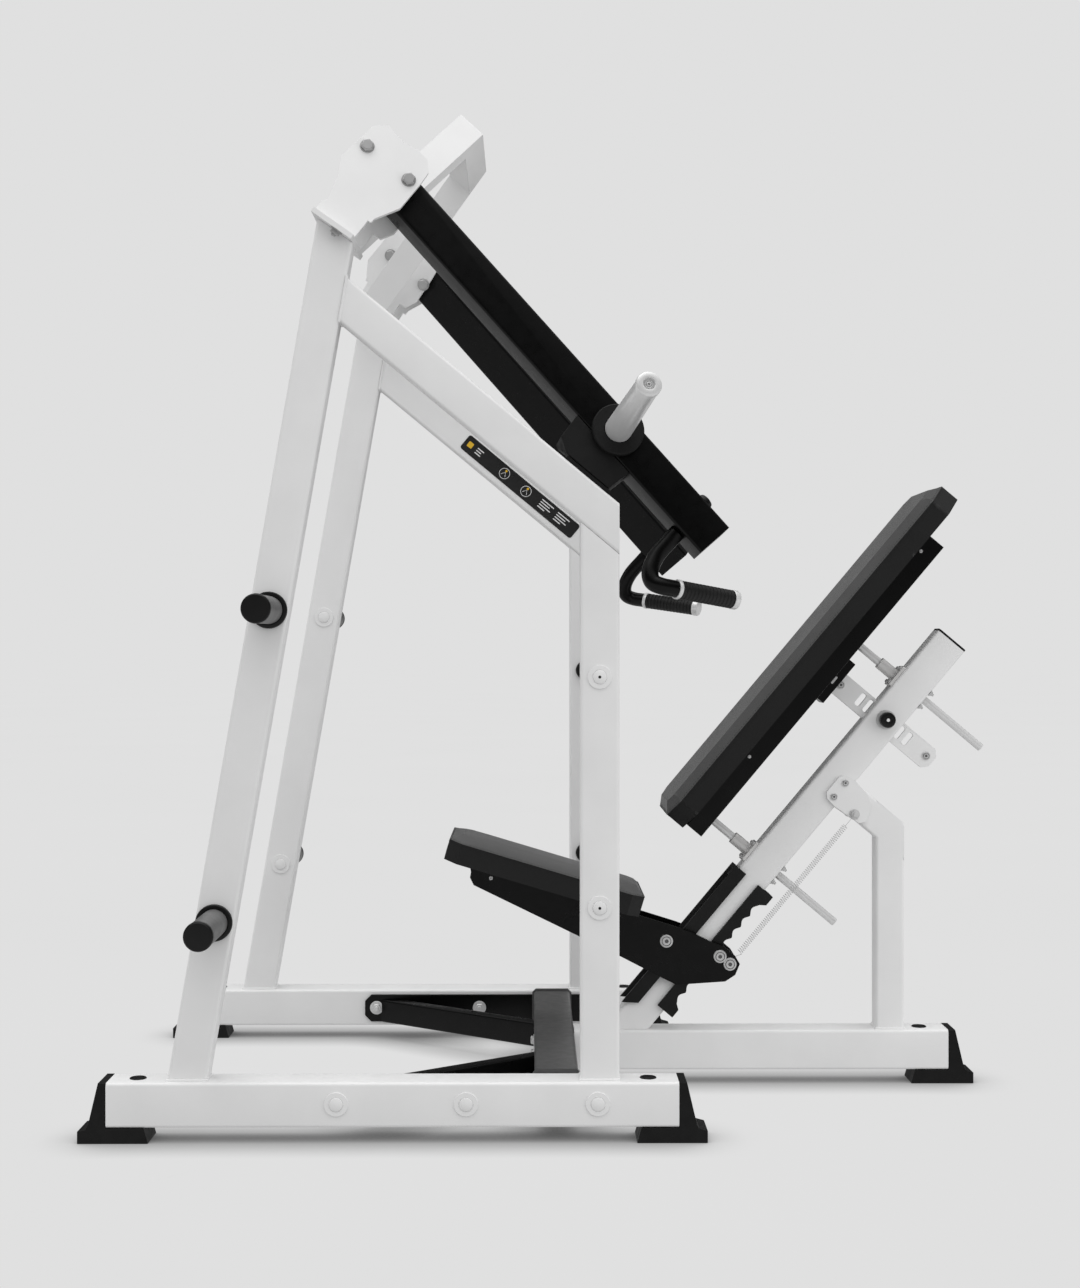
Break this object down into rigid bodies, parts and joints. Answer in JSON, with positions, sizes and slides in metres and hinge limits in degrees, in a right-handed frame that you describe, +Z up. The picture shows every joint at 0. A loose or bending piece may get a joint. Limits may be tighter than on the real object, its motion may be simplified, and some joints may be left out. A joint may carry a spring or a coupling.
{
  "type": "seated shoulder press machine",
  "caption": "Plate-loaded seated shoulder press with a leaning back pad, notched sliding seat and independent converging lever arms on an arched frame.",
  "frame": {"origin": "on the floor under the middle of the machine's outer box", "axes": "+Z up, -X is where the seated user looks, +Y is the user's right side"},
  "size_m": [1.7294, 1.3154, 1.9271],
  "materials": {
    "white_frame": "satin powder coat",
    "black_frame": "satin powder coat",
    "dark_tube": "satin",
    "chrome": "polished",
    "zinc": "zinc plated",
    "rubber": "matt moulded",
    "grip_rubber": "ribbed",
    "black_plastic": "moulded",
    "upholstery": "grained synthetic leather"
  },
  "bodies": {
    "root": {"arch_beam": "white_frame", "base_beam_left": "white_frame", "base_beam_right": "white_frame", "base_brace_left": "black_frame", "base_brace_right": "black_frame", "crossbeam": "black_frame", "crossbeam_flange_left": "black_frame", "crossbeam_flange_right": "black_frame", "diagonal_beam_left": "white_frame", "diagonal_beam_right": "white_frame", "front_foot_left": "rubber", "front_foot_right": "rubber", "front_upright_left": "white_frame", "front_upright_right": "white_frame", "guide_bushing_lower": "zinc", "guide_bushing_upper": "zinc", "pivot_bracket_left": "white_frame", "pivot_bracket_right": "white_frame", "post_cap": "black_plastic", "rear_foot_left": "rubber", "rear_foot_right": "rubber", "rear_support": "white_frame", "rear_upright_left": "white_frame", "rear_upright_right": "white_frame", "rest_bumper_left": "rubber", "rest_bumper_right": "rubber", "seat_post": "white_frame", "seat_rack": "black_frame", "seat_spring": "zinc", "seat_track": "black_frame", "spine_beam": "white_frame", "spine_foot": "rubber", "storage_peg_lower_left": "dark_tube", "storage_peg_lower_right": "dark_tube", "storage_peg_upper_left": "dark_tube", "storage_peg_upper_right": "dark_tube", "support_gusset_left": "white_frame", "support_gusset_right": "white_frame"},
    "left_arm": {"pivot_shaft_left": "zinc", "lever_arm_left": "black_frame", "weight_horn_left": "chrome", "rest_block_left": "rubber", "handle_left": "black_frame", "handle_grip_left": "grip_rubber"},
    "right_arm": {"pivot_shaft_right": "zinc", "lever_arm_right": "black_frame", "weight_horn_right": "chrome", "rest_block_right": "rubber", "handle_right": "black_frame", "handle_grip_right": "grip_rubber"},
    "seat_carrier": {"seat_roller": "black_plastic"},
    "seat": {"seat_carriage": "black_frame", "seat_lock_pin": "zinc", "seat_pad": "upholstery"},
    "back_pad_carriage": {"back_pad": "upholstery", "back_board": "black_frame", "guide_rod_upper": "chrome", "guide_rod_lower": "chrome", "adjuster_plate": "white_frame"},
    "pull_pin_body": {"pull_pin": "black_plastic"}
  },
  "joints": [
    {"name": "left_arm_press", "type": "hinge", "parent": "root", "child": "left_arm", "pos_m": [-0.3278, -0.365, 1.7412], "axis": [0.1773, -0.9602, 0.2159], "range_deg": [0, 50]},
    {"name": "right_arm_press", "type": "hinge", "parent": "root", "child": "right_arm", "pos_m": [-0.3278, 0.365, 1.7412], "axis": [-0.1773, -0.9602, -0.2159], "range_deg": [0, 50]},
    {"name": "seat_height", "type": "slide", "parent": "root", "child": "seat_carrier", "axis": [0.6428, 0, 0.766], "range_m": [-0.0864, 0.1152], "deforming": ["seat_spring"]},
    {"name": "seat_release_tilt", "type": "hinge", "parent": "seat_carrier", "child": "seat", "pos_m": [0.21464, 0, 0.28995], "axis": [0, 1, 0], "range_deg": [0, 5]},
    {"name": "back_pad_slide", "type": "slide", "parent": "root", "child": "back_pad_carriage", "axis": [-0.766, 0, 0.6428], "range_m": [-0.0414, 0.0621]},
    {"name": "pull_pin_release", "type": "slide", "parent": "root", "child": "pull_pin_body", "axis": [0, -1, 0], "range_m": [0, 0.012], "stiffness_N_per_m": 700, "springref_m": -0.006}
  ]
}
